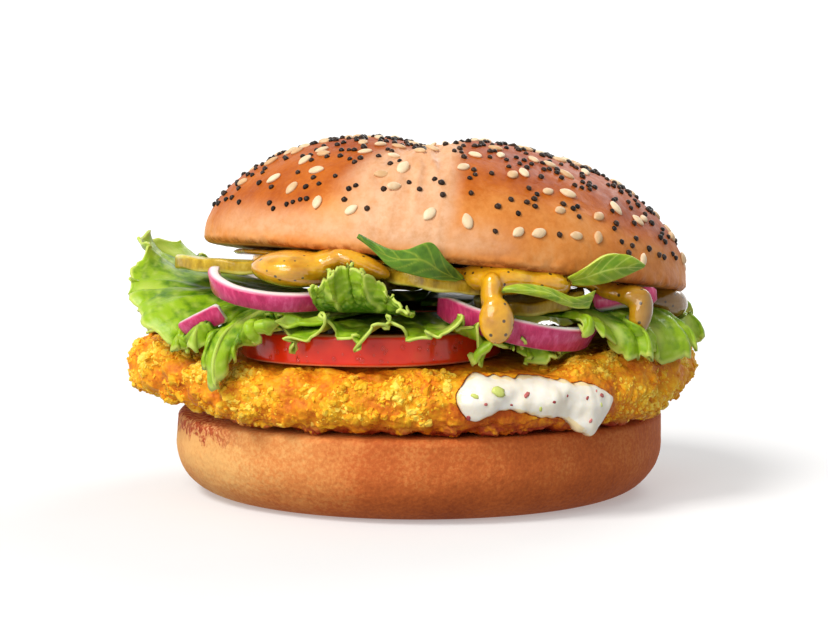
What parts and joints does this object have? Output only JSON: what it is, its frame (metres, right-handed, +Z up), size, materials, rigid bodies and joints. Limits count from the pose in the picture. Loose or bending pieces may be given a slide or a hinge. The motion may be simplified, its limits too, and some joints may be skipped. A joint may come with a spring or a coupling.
{
  "type": "chicken burger",
  "caption": "Crispy chicken burger: seeded bun, crumbed patty with cream filling, tomato, lettuce, red onion, pickles, herb leaves and mustard sauce.",
  "frame": {"origin": "the middle of the flat base that the burger stands on", "axes": "+Z up through the stack, -Y to the side with the sauce drip and the burst cream, +X to the right seen from there"},
  "size_m": [0.1283, 0.122, 0.0794],
  "materials": {
    "bun_bottom": "baked, satin",
    "bun_top": "baked and glazed",
    "patty": "fried crumb coating",
    "cream": "wet, creamy",
    "tomato": "wet, glossy skin",
    "lettuce": "crisp leaf, waxy",
    "herb": "leaf, satin",
    "onion": "wet, glossy skin",
    "pickle": "wet slice",
    "mustard": "glossy sauce"
  },
  "bodies": {
    "root": {"bun_bottom": "bun_bottom", "bun_top": "bun_top", "chicken_patty": "patty", "cream_filling": "cream", "herb_leaf_centre": "herb", "herb_leaf_low": "herb", "herb_leaf_right": "herb", "lettuce_back_left": "lettuce", "lettuce_back_right": "lettuce", "lettuce_curl": "lettuce", "lettuce_front": "lettuce", "lettuce_left": "lettuce", "lettuce_right": "lettuce", "mustard_sauce": "mustard", "onion_piece_left": "onion", "onion_ring_back": "onion", "onion_ring_left": "onion", "onion_ring_right": "onion", "onion_tip_right": "onion", "pickle_back": "pickle", "pickle_centre": "pickle", "pickle_left": "pickle", "pickle_right": "pickle", "tomato_back": "tomato", "tomato_front": "tomato"}
  },
  "joints": []
}
